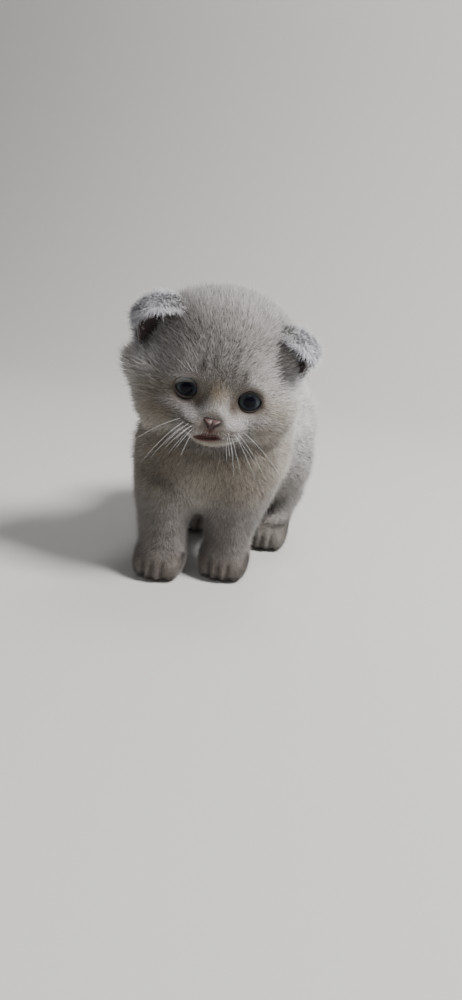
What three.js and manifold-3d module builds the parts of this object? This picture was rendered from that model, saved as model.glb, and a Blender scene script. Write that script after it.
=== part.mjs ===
// A Scottish Fold kitten of four to five weeks, standing with its head low, life size and in its coat.
// Millimetres, +Z up. The kitten faces -Y, its left side is +X, and its paws stand on the plane Z = 0.
// Before the last lines, Y = 0 is the mean of the two front toe tips and X = 0 is the middle of the back.

import * as THREE from "three";
import { mergeVertices } from "three/addons/utils/BufferGeometryUtils.js";
import Module from "manifold-3d";

const wasm = await Module();
wasm.setup();

// Driving sizes
const GAP = 0.3;
const CELL = { face: 3.1, skull: 6, nose: 1.6, trunk: 8, leg: 5.35, paw: 2.9, tail: 5 };
const EYE_SPACING = 25.6;
const EYEBALL = 6.9;
const EYE_DEPTH = 4.2;
const LID_OPENING = { half_width: 4.4, half_height: 4.1 };
const HEAD = { at: [3.2, 1, 83], turned: 12, bowed: 7, tilted: 6.5 };
const CRANIUM = { at: [0, 26, 11], radii: [30, 31, 28.2] };
const CHEEK = { at: [17.5, 15, -6], radii: [17.5, 18, 15.5] };
const PAD = { at: [5.4, -6.4, -12], radii: [7.2, 6.8, 5.8] };
const CHIN = { at: [0, -4.5, -16.2], radii: [7.2, 6.4, 4.4] };
const RUFF = { at: [-21.5, 20, -15.5], radii: [13.5, 14, 12] };
const NOSE = { at: [0, -11.2, -7.4], radii: [4.7, 2.9, 3.3] };
const MOUTH = { top: -9.8, middle: -13.3, corner: [6.8, -15.7], groove: 0.7 };
const EAR_THICKNESS = 2.8;
const EARS = {
  right: {
    root: [[-20, 15, 27.5], [-26, 26, 16], [-35, 17, 5]],
    crest: [[-22, 13, 29.5], [-32.5, 15, 28.8], [-40, 12.5, 22.3]],
    rim: [[-23, 8, 27], [-32, 4.5, 24.9], [-38.5, 8.5, 20.6]],
  },
  left: {
    root: [[18.5, 15, 27], [22.5, 26, 16.5], [30, 17, 5]],
    crest: [[20, 13, 28.3], [28.2, 15, 27.4], [35.6, 13, 22.4]],
    rim: [[20.5, 8.5, 26.2], [28, 5.5, 23.6], [34.2, 9.5, 19.8]],
  },
};
const EAR_TUFTS = [
  { at: [-33, 19, 1.5], radii: [11.5, 10.5, 9] },
  { at: [23.5, 19, 4], radii: [10, 10, 10] },
  { at: [-17, 21, 22.5], radii: [12, 13, 12] },
  { at: [15, 21, 21], radii: [11, 13, 11.5] },
];
const BARREL = { at: [-1.8, 62, 57.5], radii: [28.7, 42, 37] };
const CHEST = { at: [-4.2, 29, 55], radii: [31.5, 26, 27] };
const RUMP = { at: [-2, 92, 59.5], radii: [27.5, 29, 34] };
const PAW = { half_width: 10.2, half_length: 12, height: 14, toe: 3.2 };
const TAIL = { root_radius: 8.5, tip_radius: 3.4 };

// Small vector helpers
const V = (x, y, z) => new THREE.Vector3(x, y, z);
const deg = THREE.MathUtils.degToRad;
const mirrored = ([x, y, z]) => [-x, y, z];

// A shape is a function of a point, below zero inside. This one is an ellipsoid.
function ball({ at, radii }) {
  const [cx, cy, cz] = at;
  const [rx, ry, rz] = radii;
  return (x, y, z) => {
    const a = (x - cx) / rx;
    const b = (y - cy) / ry;
    const c = (z - cz) / rz;
    const near = Math.hypot(a, b, c);
    const slope = Math.hypot(a / rx, b / ry, c / rz);
    return slope < 1e-6 ? -Math.min(rx, ry, rz) : (near * (near - 1)) / slope;
  };
}

// A tapered rod with round ends.
function rod(from, to, from_radius, to_radius) {
  const [ax, ay, az] = from;
  const d = [to[0] - ax, to[1] - ay, to[2] - az];
  const long2 = d[0] * d[0] + d[1] * d[1] + d[2] * d[2];
  return (x, y, z) => {
    const t = ((x - ax) * d[0] + (y - ay) * d[1] + (z - az) * d[2]) / long2;
    const s = Math.min(1, Math.max(0, t));
    const reach = Math.hypot(x - ax - s * d[0], y - ay - s * d[1], z - az - s * d[2]);
    return reach - from_radius - s * (to_radius - from_radius);
  };
}

// Shapes melted into one, with fillets about as wide as softness.
function melted(softness, ...shapes) {
  return (x, y, z) =>
    shapes.reduce((sum, shape) => {
      const next = shape(x, y, z);
      const h = Math.max(0, softness - Math.abs(sum - next)) / softness;
      return Math.min(sum, next) - h * h * softness * 0.25;
    }, 1e3);
}

// Shapes joined as they are, with no fillet.
function joined(...shapes) {
  return (x, y, z) => Math.min(...shapes.map((shape) => shape(x, y, z)));
}

// A closed mesh over a shape inside the box from low to high, with a vertex in each cell the surface crosses.
function skinned(shape, low, high, cell) {
  const count = low.map((v, i) => Math.ceil((high[i] - v) / cell) + 1);
  const [nx, ny, nz] = count;
  const at = (i, j, k) => i + nx * (j + ny * k);
  const value = new Float64Array(nx * ny * nz);
  const edge = (i, n) => i === 0 || i === n - 1;
  for (let k = 0; k < nz; k++)
    for (let j = 0; j < ny; j++)
      for (let i = 0; i < nx; i++) {
        const d = shape(low[0] + i * cell, low[1] + j * cell, low[2] + k * cell);
        const rim = edge(i, nx) || edge(j, ny) || edge(k, nz);
        value[at(i, j, k)] = rim ? Math.max(d, cell * 0.5) : d;
      }
  const corners = [];
  for (let c = 0; c < 8; c++) corners.push([c & 1, (c >> 1) & 1, (c >> 2) & 1]);
  const positions = [];
  const vertex_of = new Map();
  for (let k = 0; k < nz - 1; k++)
    for (let j = 0; j < ny - 1; j++)
      for (let i = 0; i < nx - 1; i++) {
        const v = corners.map(([a, b, c]) => value[at(i + a, j + b, k + c)]);
        const inside = v.filter((d) => d < 0).length;
        if (inside === 0 || inside === 8) continue;
        const sum = [0, 0, 0];
        let crossings = 0;
        for (let a = 0; a < 8; a++)
          for (const bit of [1, 2, 4]) {
            const b = a | bit;
            if (b === a || v[a] < 0 === v[b] < 0) continue;
            const t = v[a] / (v[a] - v[b]);
            for (let n = 0; n < 3; n++) sum[n] += corners[a][n] + t * (corners[b][n] - corners[a][n]);
            crossings++;
          }
        vertex_of.set(at(i, j, k), positions.length / 3);
        [i, j, k].forEach((g, n) => positions.push(low[n] + cell * (g + sum[n] / crossings)));
      }
  const faces = [];
  const steps = [1, nx, nx * ny];
  const point = (n) => positions.slice(3 * n, 3 * n + 3);
  const far = (a, b) => Math.hypot(...point(a).map((p, n) => p - point(b)[n]));
  for (let k = 0; k < nz - 1; k++)
    for (let j = 0; j < ny - 1; j++)
      for (let i = 0; i < nx - 1; i++) {
        const here = at(i, j, k);
        for (let n = 0; n < 3; n++) {
          if ([i, j, k][(n + 1) % 3] === 0 || [i, j, k][(n + 2) % 3] === 0) continue;
          const out = value[here] >= 0;
          if (out === value[here + steps[n]] >= 0) continue;
          const u = steps[(n + 1) % 3];
          const w = steps[(n + 2) % 3];
          const ring = [here - u - w, here - w, here, here - u].map((g) => vertex_of.get(g));
          const [a, b, c, d] = out ? ring.reverse() : ring;
          if (far(a, c) < far(b, d)) faces.push(a, b, c, a, c, d);
          else faces.push(a, b, d, b, c, d);
        }
      }
  const made = new THREE.BufferGeometry();
  made.setAttribute("position", new THREE.Float32BufferAttribute(positions, 3));
  made.setIndex(faces);
  return made;
}

// The same mesh with each vertex moved out along its normal.
function grown(geometry, by) {
  const made = geometry.clone();
  made.computeVertexNormals();
  const p = made.getAttribute("position");
  const n = made.getAttribute("normal");
  for (let i = 0; i < p.count; i++)
    p.setXYZ(i, p.getX(i) + by * n.getX(i), p.getY(i) + by * n.getY(i), p.getZ(i) + by * n.getZ(i));
  return made;
}

// A closed three.js geometry as a solid that can be joined and cut.
function solid(geometry) {
  const bare = geometry.clone();
  bare.deleteAttribute("normal");
  bare.deleteAttribute("uv");
  const merged = mergeVertices(bare, 1e-4);
  return new wasm.Manifold(
    new wasm.Mesh({
      numProp: 3,
      vertProperties: merged.getAttribute("position").array,
      triVerts: new Uint32Array(merged.index.array),
    }),
  );
}

// The largest closed surface of a solid, as a three.js geometry, with vertices that almost touch made one.
function unpacked(made) {
  const largest = made.decompose().reduce((a, b) => (b.volume() > a.volume() ? b : a));
  const { vertProperties, triVerts } = largest.getMesh();
  const geometry = new THREE.BufferGeometry();
  geometry.setAttribute("position", new THREE.BufferAttribute(vertProperties, 3));
  geometry.setIndex(new THREE.BufferAttribute(triVerts, 1));
  const merged = mergeVertices(geometry, 0.02);
  const kept = [];
  for (let i = 0; i < merged.index.count; i += 3) {
    const [a, b, c] = [0, 1, 2].map((n) => merged.index.getX(i + n));
    if (a !== b && b !== c && c !== a) kept.push(a, b, c);
  }
  merged.setIndex(kept);
  return merged;
}

function piece(name, made, material) {
  const geometry = unpacked(made);
  geometry.computeVertexNormals();
  const mesh = new THREE.Mesh(geometry, material);
  mesh.name = name;
  return mesh;
}

// The space where every plane's outward side is left out. A plane is a point on it and its outward normal.
function space(planes, more = 0) {
  const big = 400;
  const halves = planes.map(([point, outward]) => {
    const half = new THREE.BoxGeometry(big, big, big);
    const normal = V(...outward).normalize();
    half.translate(0, 0, more - big / 2);
    half.applyQuaternion(new THREE.Quaternion().setFromUnitVectors(V(0, 0, 1), normal));
    return solid(half.translate(...point));
  });
  return halves.reduce((sum, half) => sum.intersect(half));
}

// Finishes
const finish = (color, roughness) => new THREE.MeshStandardMaterial({ color, roughness, metalness: 0 });
const COAT = finish(0x9a948d, 0.95);
const PALE_COAT = finish(0xb3aca2, 0.95);
const NOSE_LEATHER = finish(0x6e4f4c, 0.6);
const EYE = finish(0x14161c, 0.12);

// The head in its own frame: the origin is midway between the eyes, and it faces -Y.
function headGeometry() {
  const pair = ({ at, radii }) => [ball({ at, radii }), ball({ at: mirrored(at), radii })];
  const brow = { at: [10, 4.5, 8], radii: [10, 7.5, 6.5] };
  const throat = { at: [0, 15, -13], radii: [19, 17, 12] };
  const under_eye = { at: [13, 3.5, -9.5], radii: [8.5, 6.5, 5.5] };
  const bridge = rod([0, 3, 2.5], [0, -8.2, -4.6], 6.2, 4.5);
  const shape = melted(
    7,
    ball(CRANIUM),
    ...pair(CHEEK),
    ball(throat),
    ...EAR_TUFTS.map(ball),
    ball(RUFF),
    ...pair(brow),
    ...pair(under_eye),
  );
  const muzzle = melted(2.4, ...pair(PAD), ball(CHIN), bridge);
  const whole = melted(4, shape, muzzle);
  const [low, high, parted, overlap] = [[-52, -20, -34], [44, 64, 48], 10, 0.6];
  const face = solid(skinned(whole, low, [high[0], parted + CELL.face, high[2]], CELL.face));
  const skull = solid(skinned(whole, low, high, CELL.skull));
  const front = space([[[0, parted, 0], [0, 1, 0]]]);
  const back = space([[[0, parted - overlap, 0], [0, -1, 0]]]);
  return unpacked(face.intersect(front).add(skull.intersect(back)));
}

// How far forward the head's surface is at a place on the face, as a Y in the head's frame.
function faceY(head, x, z) {
  const ray = new THREE.Raycaster(V(x, -60, z), V(0, 1, 0));
  const mesh = new THREE.Mesh(head, new THREE.MeshBasicMaterial({ side: THREE.DoubleSide }));
  return ray.intersectObject(mesh)[0].point.y;
}

// A round cord along points, for the grooves of the mouth and the rims of the lips.
function cord(points, radius, sides = 3) {
  const path = new THREE.CatmullRomCurve3(points.map((p) => V(...p)));
  const section = new THREE.Shape().absarc(0, 0, radius, 0, 2 * Math.PI);
  return new THREE.ExtrudeGeometry(section, {
    steps: 2 * points.length,
    curveSegments: sides,
    bevelEnabled: false,
    extrudePath: path,
  });
}

function mouthLines(head) {
  const [corner_x, corner_z] = MOUTH.corner;
  const lip = [-1, -0.72, -0.36, 0, 0.36, 0.72, 1].map((s) => {
    const z = MOUTH.middle + (corner_z - MOUTH.middle) * Math.abs(s) ** 1.3;
    return [s * corner_x, z];
  });
  const philtrum = [MOUTH.top, (MOUTH.top + MOUTH.middle) / 2, MOUTH.middle].map((z) => [0, z]);
  const laid = (places, drop, proud) =>
    places.map(([x, z]) => [x, faceY(head, x, z + drop) - proud, z + drop]);
  return {
    grooves: [cord(laid(lip, 0, -0.1), MOUTH.groove), cord(laid(philtrum, 0, -0.2), MOUTH.groove)],
    lower_lip: cord(laid(lip.slice(1, 6), -1.4, -0.35), 0.95),
  };
}

// An eyeball sits behind each lid opening, and a raised rim of lid runs round it.
function eyePlace(side) {
  return [(side * EYE_SPACING) / 2, EYE_DEPTH, 0];
}

function eyeball(side, radius) {
  return new THREE.SphereGeometry(radius, 14, 10).translate(...eyePlace(side));
}

function lidOpening(side) {
  const deep = 10;
  const flare = 1.35;
  const { half_width, half_height } = LID_OPENING;
  const made = new THREE.CylinderGeometry(1, flare, deep, 18);
  made.scale(half_width, 1, half_height);
  return made.translate((side * EYE_SPACING) / 2, EYE_DEPTH - 4.2 - deep / 2, 0);
}

function lidRim(side) {
  const thick = 0.95;
  const { half_width, half_height } = LID_OPENING;
  const made = new THREE.TorusGeometry(1, thick / half_width, 6, 20);
  made.scale(half_width + thick / 2, half_height + thick / 2, half_width);
  made.rotateX(Math.PI / 2);
  return made.translate((side * EYE_SPACING) / 2, EYE_DEPTH - 5.3, 0);
}

function nostril(side) {
  const made = new THREE.SphereGeometry(1, 10, 6);
  made.scale(1.25, 1.6, 0.8);
  made.rotateY(side * deg(38));
  return made.translate(side * 2.9, NOSE.at[1] - 1.9, NOSE.at[2] - 0.7);
}

function headPieces() {
  const head = headGeometry();
  const nose = skinned(ball(NOSE), [-7, -17, -13], [7, -7, -2], CELL.nose);
  const { grooves, lower_lip } = mouthLines(head);
  let flesh = solid(head);
  for (const side of [1, -1]) {
    flesh = flesh.subtract(solid(lidOpening(side)));
    flesh = flesh.add(solid(lidRim(side)));
    flesh = flesh.subtract(solid(eyeball(side, EYEBALL + GAP)));
  }
  flesh = flesh.add(solid(lower_lip));
  for (const groove of grooves) flesh = flesh.subtract(solid(groove));
  flesh = flesh.subtract(solid(grown(nose, GAP)));
  let leather = solid(nose);
  for (const side of [1, -1]) {
    leather = leather.subtract(solid(nostril(side)));
    flesh = flesh.subtract(solid(nostril(side)));
  }
  return {
    outline: head,
    meshes: [
      piece("head", flesh, COAT),
      piece("nose", leather, NOSE_LEATHER),
      piece("eye_left", solid(eyeball(1, EYEBALL)), EYE),
      piece("eye_right", solid(eyeball(-1, EYEBALL)), EYE),
      ...["left", "right"].map((name) => ear(name, head)),
    ],
  };
}

// A folded ear is a bent sheet. It rises from its root as a cup and comes forward and down over it from its
// crest to its rim. across runs from the crown to the cheek, and along runs from root to rim.
function earPoint(curves, across, along) {
  const [root, crest, rim] = curves.map((curve) => curve.getPoint(across));
  const pull = crest.clone().multiplyScalar(2).sub(root.clone().add(rim).multiplyScalar(0.5));
  return new THREE.QuadraticBezierCurve3(root, pull, rim).getPoint(along);
}

function earGeometry({ root, crest, rim }) {
  const rows = 8;
  const columns = 8;
  const curves = [root, crest, rim].map((points) => new THREE.CatmullRomCurve3(points.map((p) => V(...p))));
  const faces = [[], []];
  for (let r = 0; r <= rows; r++)
    for (let c = 0; c <= columns; c++) {
      const [across, along] = [c / columns, r / rows];
      const p = earPoint(curves, across, along);
      const [u0, u1] = [Math.max(0, across - 1e-3), Math.min(1, across + 1e-3)];
      const [v0, v1] = [Math.max(0, along - 1e-3), Math.min(1, along + 1e-3)];
      const du = earPoint(curves, u1, along).sub(earPoint(curves, u0, along));
      const dv = earPoint(curves, across, v1).sub(earPoint(curves, across, v0));
      const edge = Math.max(Math.abs(2 * across - 1), along) ** 8;
      const half = (EAR_THICKNESS / 2) * (1 - 0.5 * edge);
      const normal = du.cross(dv).normalize().multiplyScalar(half);
      faces[0].push(...p.clone().add(normal).toArray());
      faces[1].push(...p.clone().sub(normal).toArray());
    }
  const front = (r, c) => r * (columns + 1) + c;
  const back = (r, c) => front(r, c) + (rows + 1) * (columns + 1);
  const index = [];
  const quad = (a, b, c, d) => index.push(a, b, c, a, c, d);
  for (let r = 0; r < rows; r++)
    for (let c = 0; c < columns; c++) {
      quad(front(r, c), front(r, c + 1), front(r + 1, c + 1), front(r + 1, c));
      quad(back(r + 1, c), back(r + 1, c + 1), back(r, c + 1), back(r, c));
    }
  for (let r = 0; r < rows; r++) {
    quad(front(r + 1, 0), back(r + 1, 0), back(r, 0), front(r, 0));
    quad(front(r, columns), back(r, columns), back(r + 1, columns), front(r + 1, columns));
  }
  for (let c = 0; c < columns; c++) {
    quad(front(0, c), back(0, c), back(0, c + 1), front(0, c + 1));
    quad(front(rows, c + 1), back(rows, c + 1), back(rows, c), front(rows, c));
  }
  const made = new THREE.BufferGeometry();
  made.setAttribute("position", new THREE.Float32BufferAttribute(faces.flat(), 3));
  made.setIndex(index);
  return made;
}

function ear(name, head) {
  let made = solid(earGeometry(EARS[name]));
  if (made.volume() < 0) {
    const turned = earGeometry(EARS[name]);
    turned.setIndex([...turned.index.array].reverse());
    made = solid(turned);
  }
  return piece("ear_" + name, made.subtract(solid(grown(head, 1.5 * GAP))), PALE_COAT);
}

// The legs, from their joints. Toe tips are at [x, y]; the right foreleg is a step ahead of the left one.
const FORELEGS = {
  right: {
    toes: [-16.5, -6.6],
    wrist: [-16.8, 7, 13],
    elbow: [-19.5, 14, 38],
    shoulder: [-22, 21, 56],
  },
  left: {
    toes: [9.4, 6.6],
    wrist: [8.6, 19.5, 13],
    elbow: [11.3, 24, 38],
    shoulder: [15, 26, 57],
  },
};
const HIND_LEGS = {
  left: {
    toes: [18.6, 55],
    ball: [19, 69, 9],
    hock: [23, 93, 24],
    knee: [20.5, 77, 42],
    hip: [14, 95, 62],
  },
  right: {
    toes: [-20.5, 62],
    ball: [-21, 76, 9],
    hock: [-24, 99, 24],
    knee: [-21.5, 83, 42],
    hip: [-15, 96, 62],
  },
};

function pawShape([x, y]) {
  const { half_width, half_length, height, toe } = PAW;
  const mound = ball({
    at: [x, y + half_length + 1, height * 0.46],
    radii: [half_width, half_length, height * 0.52],
  });
  const toes = [-1.5, -0.5, 0.5, 1.5].map((n) => {
    const back = Math.abs(n) > 1 ? 2.6 : 0;
    return ball({ at: [x + n * 5.1, y + 5.2 + back, 4.9], radii: [toe, 5.4, 5.1] });
  });
  return melted(2, melted(1.2, ...toes), mound);
}

function forelegShape({ toes, wrist, elbow, shoulder }) {
  return melted(6, pawShape(toes), rod(wrist, elbow, 10.8, 13.2), rod(elbow, shoulder, 13.2, 15.5));
}

function hindLegShape({ toes, ball: foot_ball, hock, knee, hip }) {
  return melted(
    6,
    pawShape(toes),
    rod(foot_ball, hock, 8.6, 8.6),
    rod(hock, knee, 9, 14),
    rod(knee, hip, 16, 20),
  );
}

const TAIL_LINE = [
  [0, 112, 80],
  [0, 126, 76],
  [1, 137, 65],
  [3, 144, 51],
  [6, 149, 37],
  [10, 155, 26],
];

function tailShape() {
  const { root_radius, tip_radius } = TAIL;
  const path = new THREE.CatmullRomCurve3(TAIL_LINE.map((p) => V(...p)));
  const steps = 9;
  const radius = (t) => root_radius + (tip_radius - root_radius) * t ** 1.4;
  const rods = [];
  for (let i = 0; i < steps; i++) {
    const [a, b] = [i / steps, (i + 1) / steps];
    rods.push(rod(path.getPoint(a).toArray(), path.getPoint(b).toArray(), radius(a), radius(b)));
  }
  return melted(2, ...rods);
}

// The body in its coat, less the head, as one shape with the legs of the sides named.
function bodyShape(...sides) {
  const nape = rod([-1, 40, 68], [0, 26, 84], 27, 22);
  const trunk = melted(14, ball(BARREL), ball(CHEST), ball(RUMP), nape);
  const legs = sides.flatMap((side) => [forelegShape(FORELEGS[side]), hindLegShape(HIND_LEGS[side])]);
  const legged = joined(...legs.map((leg) => melted(9, trunk, leg)));
  return melted(8, legged, tailShape());
}

// Where the body is parted, as planes: a point and the normal that points out of the named piece.
const below = (z) => [[0, 0, z], [0, 0, 1]];
const FLOOR = [[0, 0, 0], [0, 0, -1]];
const WRIST = 12;
const HOCK = 13;
const SPACES = {
  foreleg: (side) => [
    [[side * 17 - 2, 20, 43], [side * -0.42, 0, 0.9]],
    [[-2.6, 0, 0], [-side, 0, 0]],
    [[0, 45, 0], [0, 1, 0]],
    FLOOR,
  ],
  hind_leg: (side) => [
    [[side * 22, 80, 56], [side * -0.5, 0, 0.86]],
    [[side * 3, 0, 0], [-side, 0, 0]],
    [[0, 50, 40], [0, -1, 0.25]],
    FLOOR,
  ],
  tail: [[[0, 117, 78], [0, -0.95, 0.1]], [[0, 118, 58], [0, -0.8, -0.6]]],
  neck: [[[0, 44, 86], [0, 0.8, -0.6]], [[0, 20, 62], [0, 0.2, -0.98]]],
};

function bodyPieces(head_outlines) {
  const shape = bodyShape("left", "right");
  const low = [-45, -16, -6];
  const high = [45, 170, 104];
  const meshes = [];
  let rest = solid(skinned(shape, low, high, CELL.trunk));
  for (const [name, side] of [["left", 1], ["right", -1]]) {
    const half = bodyShape(name);
    const fine = solid(skinned(half, low, [high[0], high[1], 72], CELL.leg));
    const finer = solid(skinned(half, low, [high[0], 112, 26], CELL.paw));
    const foreleg = SPACES.foreleg(side);
    rest = rest.subtract(space(foreleg, GAP));
    const above_wrist = [[0, 0, WRIST + GAP], [0, 0, -1]];
    meshes.push(piece("foreleg_" + name, fine.intersect(space([...foreleg, above_wrist])), COAT));
    meshes.push(piece("forepaw_" + name, finer.intersect(space([...foreleg, below(WRIST)])), COAT));
    const hind = SPACES.hind_leg(side);
    rest = rest.subtract(space(hind, GAP));
    const above_hock = [[0, 0, HOCK + GAP], [0, 0, -1]];
    meshes.push(piece("hind_leg_" + name, fine.intersect(space([...hind, above_hock])), COAT));
    meshes.push(piece("hind_paw_" + name, finer.intersect(space([...hind, below(HOCK)])), COAT));
  }
  const finer_tail = solid(skinned(shape, [-20, 100, 10], [30, 175, 100], CELL.tail));
  meshes.push(piece("tail", finer_tail.intersect(space(SPACES.tail)), COAT));
  rest = rest.subtract(space(SPACES.tail, GAP));
  for (const outline of head_outlines) rest = rest.subtract(solid(outline));
  meshes.push(piece("neck", rest.intersect(space(SPACES.neck)), COAT));
  rest = rest.subtract(space(SPACES.neck, GAP));
  const [front, back] = [50, 86];
  meshes.push(piece("chest", rest.intersect(space([[[0, front, 0], [0, 1, 0]]])), COAT));
  meshes.push(
    piece(
      "belly",
      rest.intersect(space([[[0, front + GAP, 0], [0, -1, 0]], [[0, back, 0], [0, 1, 0]]])),
      COAT,
    ),
  );
  meshes.push(piece("rump", rest.intersect(space([[[0, back + GAP, 0], [0, -1, 0]]])), COAT));
  return meshes;
}

// Assembly
const head_group = new THREE.Group();
head_group.position.set(...HEAD.at);
head_group.rotation.set(deg(HEAD.bowed), deg(HEAD.tilted), deg(HEAD.turned), "ZXY");
head_group.updateMatrixWorld(true);
const head = headPieces();
head_group.add(...head.meshes);
const head_cuts = [0.1, GAP, 2 * GAP].map((gap) =>
  grown(head.outline, gap).applyMatrix4(head_group.matrixWorld),
);

const kitten = new THREE.Group();
kitten.add(head_group, ...bodyPieces(head_cuts));

// The origin is on the floor under the middle of the kitten's own box.
const middle = new THREE.Box3().setFromObject(kitten, true).getCenter(V(0, 0, 0));
kitten.position.set(-middle.x, -middle.y, 0);

export default kitten;
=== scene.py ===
import math

import bmesh
import bpy
import numpy as np
from mathutils import Matrix, Vector, kdtree
from mathutils.bvhtree import BVHTree


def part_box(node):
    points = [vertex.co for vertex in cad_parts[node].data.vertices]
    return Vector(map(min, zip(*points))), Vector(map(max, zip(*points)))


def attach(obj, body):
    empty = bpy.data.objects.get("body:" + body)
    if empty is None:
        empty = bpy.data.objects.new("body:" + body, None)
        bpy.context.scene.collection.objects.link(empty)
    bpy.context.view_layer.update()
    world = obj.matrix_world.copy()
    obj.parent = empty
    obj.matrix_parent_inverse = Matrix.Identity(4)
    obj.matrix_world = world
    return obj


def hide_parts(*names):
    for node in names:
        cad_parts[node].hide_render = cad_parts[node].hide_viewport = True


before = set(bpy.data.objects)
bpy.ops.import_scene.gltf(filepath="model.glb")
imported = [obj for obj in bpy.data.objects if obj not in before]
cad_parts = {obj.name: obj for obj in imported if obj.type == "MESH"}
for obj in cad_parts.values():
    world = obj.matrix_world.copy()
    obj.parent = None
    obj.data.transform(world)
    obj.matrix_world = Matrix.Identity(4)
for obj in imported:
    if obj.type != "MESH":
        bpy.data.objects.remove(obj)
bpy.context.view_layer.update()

# The viewpoint
# The kitten was seen from just above its own height, a hand's length in front of its paws and to its left,
# through a wide lens that leans a little, so that its head is large and its hind feet are small.
mm = 0.001
eye_places = [(Vector(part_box(node)[0]) + Vector(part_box(node)[1])) / 2 for node in ("eye_left", "eye_right")]
between_eyes = (eye_places[0] + eye_places[1]) / 2
turned = math.radians(12)
heading = Matrix.Rotation(turned, 3, "Z")
pitch, roll = math.radians(16.5), math.atan(0.1123)
forward = heading @ Vector((0, math.cos(pitch), -math.sin(pitch)))
level = heading @ Vector((1, 0, 0))
upright = level.cross(forward)
sideways = level * math.cos(roll) + upright * math.sin(roll)
upward = upright * math.cos(roll) - level * math.sin(roll)
from_eyes = Vector((72.14, -292.86, 44.49))
eyepiece = bpy.data.objects.new("viewpoint", bpy.data.cameras.new("viewpoint"))
eyepiece.data.sensor_width = 36
eyepiece.data.lens = 27.04
eyepiece.data.clip_start = 0.01
axes = Matrix((sideways, upward, -forward)).transposed().to_4x4()
eyepiece.matrix_world = Matrix.Translation(between_eyes + from_eyes * mm) @ axes
bpy.context.scene.collection.objects.link(eyepiece)
bpy.context.scene.camera = eyepiece

# The floor and the light
# A plain pale sheet of paper that runs back and rises behind the kitten. The light is a strong soft lamp high
# on the kitten's left, with weak ones overhead and in front.


def cast(shape, name):
    """A mesh of that name from a bmesh, which is used up."""
    mesh = bpy.data.meshes.new(name)
    shape.to_mesh(mesh)
    shape.free()
    return mesh


def shown(name, mesh, material):
    """A piece in the scene from a finished mesh, smooth all over."""
    mesh.polygons.foreach_set("use_smooth", [True] * len(mesh.polygons))
    mesh.materials.append(material)
    piece = bpy.data.objects.new(name, mesh)
    bpy.context.scene.collection.objects.link(piece)
    return piece


def blank(name, rough):
    """A new material of that roughness, with its nodes, its links and its shader."""
    made = bpy.data.materials.new(name)
    made.use_nodes = True
    shader = made.node_tree.nodes["Principled BSDF"]
    shader.inputs["Roughness"].default_value = rough
    return made, made.node_tree.nodes, made.node_tree.links, shader


surface = bmesh.new()
edge = [surface.verts.new((-3, -2.5, 0)), surface.verts.new((3, -2.5, 0))]
line = surface.edges.new(edge)
bend = [(0.45 + 0.5 * math.sin(a), 0.5 - 0.5 * math.cos(a)) for a in np.linspace(0.12, math.pi / 2, 12)]
for y, z in [(0.45, 0.0), *bend, (0.95, 2.5)]:
    grown = bmesh.ops.extrude_edge_only(surface, edges=[line])["geom"]
    line = [g for g in grown if isinstance(g, bmesh.types.BMEdge)][0]
    for v in line.verts:
        v.co.y, v.co.z = y, z
bmesh.ops.recalc_face_normals(surface, faces=surface.faces[:])
paper, _, _, shader = blank("pale_paper", 0.8)
shader.inputs["Base Color"].default_value = (0.5, 0.492, 0.478, 1)
floor = shown("pale_floor", cast(surface, "pale_floor"), paper)

for name, place, size, watts, colour in (
    ("lamp_overhead", (0.06, 0.44, 1.2), 0.34, 3.8, (1, 0.99, 0.975)),
    ("lamp_left", (0.80, -0.1, 1.06), 0.36, 36, (1, 0.995, 0.98)),
    ("lamp_front", (0.1, -1.15, 1.2), 0.6, 3, (1, 0.995, 0.98)),
):
    lamp = bpy.data.objects.new(name, bpy.data.lights.new(name, "AREA"))
    lamp.data.size = size
    lamp.data.energy = watts
    lamp.data.color = colour
    lamp.location = place
    lamp.rotation_mode = "QUATERNION"
    lamp.rotation_quaternion = (Vector(place) - Vector((0, 0, 0.06))).to_track_quat("Z", "Y")
    bpy.context.scene.collection.objects.link(lamp)
air = bpy.data.worlds.new("soft_air")
air.use_nodes = True
air.node_tree.nodes["Background"].inputs["Color"].default_value = (0.84, 0.84, 0.86, 1)
air.node_tree.nodes["Background"].inputs["Strength"].default_value = 0.19
bpy.context.scene.world = air

# The skin under the coat
# One hide of soft skin over head, trunk, legs and tail, hollow at the eyes. It is the solids melted together,
# smoothed, and drawn in by the depth of the coat, which is least on the face and feet. Sizes are millimetres.
bowed, tilted = math.radians(7), math.radians(6.5)
head_turn = (
    Matrix.Rotation(turned, 3, "Z") @ Matrix.Rotation(bowed, 3, "X") @ Matrix.Rotation(tilted, 3, "Y")
)
EYE_OUT, EYE_BACK = 12.8, 4.2
MOUTH_X, MOUTH_Z = -0.7, -15.4
TOE_WIDE = 4.9
head_origin = between_eyes - head_turn @ Vector((0, EYE_BACK * mm, 0))
head_axes = np.array(head_turn)


def in_head(points):
    """Places in the head's own frame, in millimetres: X to the kitten's left, -Y forward, Z up."""
    return (points - np.array(head_origin)) @ head_axes / mm


def from_head(places):
    """Places in the frame, in metres, from places in the head's own frame."""
    return np.asarray(places, float) * mm @ head_axes.T + np.array(head_origin)


def unit(v):
    return v / np.maximum(np.linalg.norm(v, axis=-1, keepdims=True), 1e-12)


def ramp(x, low, high):
    """0 up to low and 1 from high on, with a soft rise between them."""
    t = np.clip((x - low) / (high - low), 0, 1)
    return t * t * (3 - 2 * t)


def near_to(places, at, size):
    """1 at a place and 0 away from it, over a soft ball or egg of that size."""
    return np.exp(-(np.linalg.norm((places - at) / size, axis=1) ** 2))


def on_front(places):
    """1 on the front of the head, 0 behind it."""
    return ramp(-places[:, 1], -16, -6)


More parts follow.
